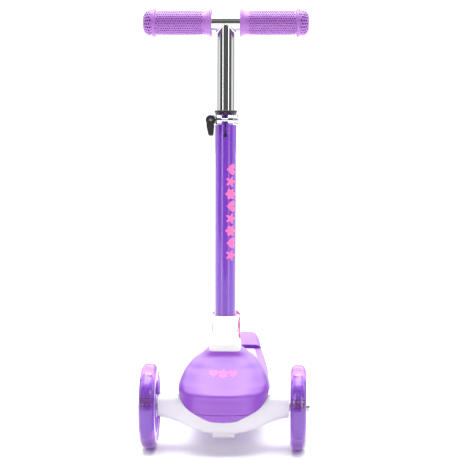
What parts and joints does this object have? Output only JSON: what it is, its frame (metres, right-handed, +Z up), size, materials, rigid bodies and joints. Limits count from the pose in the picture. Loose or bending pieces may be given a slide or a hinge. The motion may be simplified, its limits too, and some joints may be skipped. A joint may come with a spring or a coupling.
{
  "type": "kick scooter",
  "caption": "Child's three-wheel lean-to-steer kick scooter with a folding column, height-adjustable T-bar, light-up front wheels and a rear fender brake.",
  "frame": {"origin": "on the ground, at the middle of the scooter's footprint", "axes": "+Z up, -Y forwards, +X to the right as seen from in front"},
  "size_m": [0.24, 0.52, 0.6126],
  "materials": {
    "deck_plastic": "satin moulded purple",
    "mat_rubber": "textured lilac grey",
    "white_plastic": "white moulded nylon",
    "tube_paint": "gloss purple powder coat",
    "chrome": "bright chrome plate",
    "steel": "zinc-plated steel",
    "aluminium": "cast",
    "black_plastic": "moulded black nylon",
    "pink_plastic": "moulded pink",
    "grip_rubber": "soft moulded grip",
    "tyre_urethane": "translucent cast polyurethane",
    "core_plastic": "translucent moulded core",
    "urethane": "cast urethane",
    "black_rubber": "brake pad"
  },
  "bodies": {
    "deck": {"deck_shell": "deck_plastic", "nose_cover": "deck_plastic", "nose_pan": "deck_plastic", "grip_mat": "mat_rubber", "pivot_block": "aluminium", "pivot_block_screws": "steel", "kingpin": "steel", "cup_washer": "steel", "fold_base": "white_plastic", "fold_base_bolts": "steel", "fold_pin": "steel", "release_pin": "steel", "rear_axle_bolt": "steel", "rear_axle_nut": "steel", "rear_spacers": "steel", "fender_pin": "steel", "brake_leaf_spring": "steel", "leaf_screw": "steel"},
    "truck": {"front_beam": "white_plastic", "thrust_washer": "black_plastic", "steer_bushing": "urethane", "axle_bolt_left": "steel", "axle_bolt_right": "steel", "axle_spacers_left": "steel", "axle_spacers_right": "steel", "magnet_ring_left": "black_plastic", "magnet_ring_right": "black_plastic"},
    "wheel_left": {"tyre_left": "tyre_urethane", "core_left": "core_plastic", "lamp_modules_left": "black_plastic", "bearings_left": "steel"},
    "wheel_right": {"tyre_right": "tyre_urethane", "core_right": "core_plastic", "lamp_modules_right": "black_plastic", "bearings_right": "steel"},
    "wheel_rear": {"rear_tyre": "tyre_urethane", "rear_core": "core_plastic", "rear_bearings": "steel"},
    "column": {"fold_knuckle": "aluminium", "knuckle_screws": "steel", "steering_tube": "tube_paint", "tube_bushing": "black_plastic", "clamp_collar": "chrome", "clamp_skewer": "steel", "clamp_nut": "steel", "cam_washer": "black_plastic"},
    "clamp_lever": {"clamp_lever": "black_plastic", "cam_pin": "steel"},
    "handlebar": {"t_bar": "chrome", "stem_plug": "black_plastic", "grip_left": "grip_rubber", "grip_right": "grip_rubber"},
    "release": {"release_lever": "pink_plastic"},
    "brake": {"brake_fender": "deck_plastic", "brake_pad": "black_rubber"}
  },
  "joints": [
    {"name": "lean_steer", "type": "hinge", "parent": "deck", "child": "truck", "pos_m": [0, -0.192, 0.048], "axis": [0, -0.7071, 0.7071], "range_deg": [-10, 10], "stiffness_Nm_per_rad": 25},
    {"name": "left_wheel_spin", "type": "hinge", "parent": "truck", "child": "wheel_left", "pos_m": [-0.104, -0.2, 0.06], "axis": [1, 0, 0], "continuous": true},
    {"name": "right_wheel_spin", "type": "hinge", "parent": "truck", "child": "wheel_right", "pos_m": [0.104, -0.2, 0.06], "axis": [1, 0, 0], "continuous": true},
    {"name": "rear_wheel_spin", "type": "hinge", "parent": "deck", "child": "wheel_rear", "pos_m": [0, 0.205, 0.04], "axis": [1, 0, 0], "continuous": true},
    {"name": "fold", "type": "hinge", "parent": "deck", "child": "column", "pos_m": [0, -0.16, 0.16], "axis": [-1, 0, 0], "range_deg": [0, 86]},
    {"name": "release_swing", "type": "hinge", "parent": "deck", "child": "release", "pos_m": [0, -0.1305, 0.141], "axis": [-1, 0, 0], "range_deg": [0, 100]},
    {"name": "bar_height", "type": "slide", "parent": "column", "child": "handlebar", "axis": [0, 0.0523, 0.9986], "range_m": [-0.085, 0.06]},
    {"name": "clamp_open", "type": "hinge", "parent": "column", "child": "clamp_lever", "pos_m": [-0.0199, -0.16587, 0.45872], "axis": [0, 0.9986, -0.0523], "range_deg": [0, 170]},
    {"name": "brake_press", "type": "hinge", "parent": "deck", "child": "brake", "pos_m": [0, 0.166, 0.068], "axis": [-1, 0, 0], "range_deg": [0, 2.2], "stiffness_Nm_per_rad": 6, "springref_deg": -4.58, "deforming": ["brake_leaf_spring"]}
  ],
  "couplings": [
    {"joint": "release_swing", "follows": "fold", "ratio": 1.1}
  ]
}
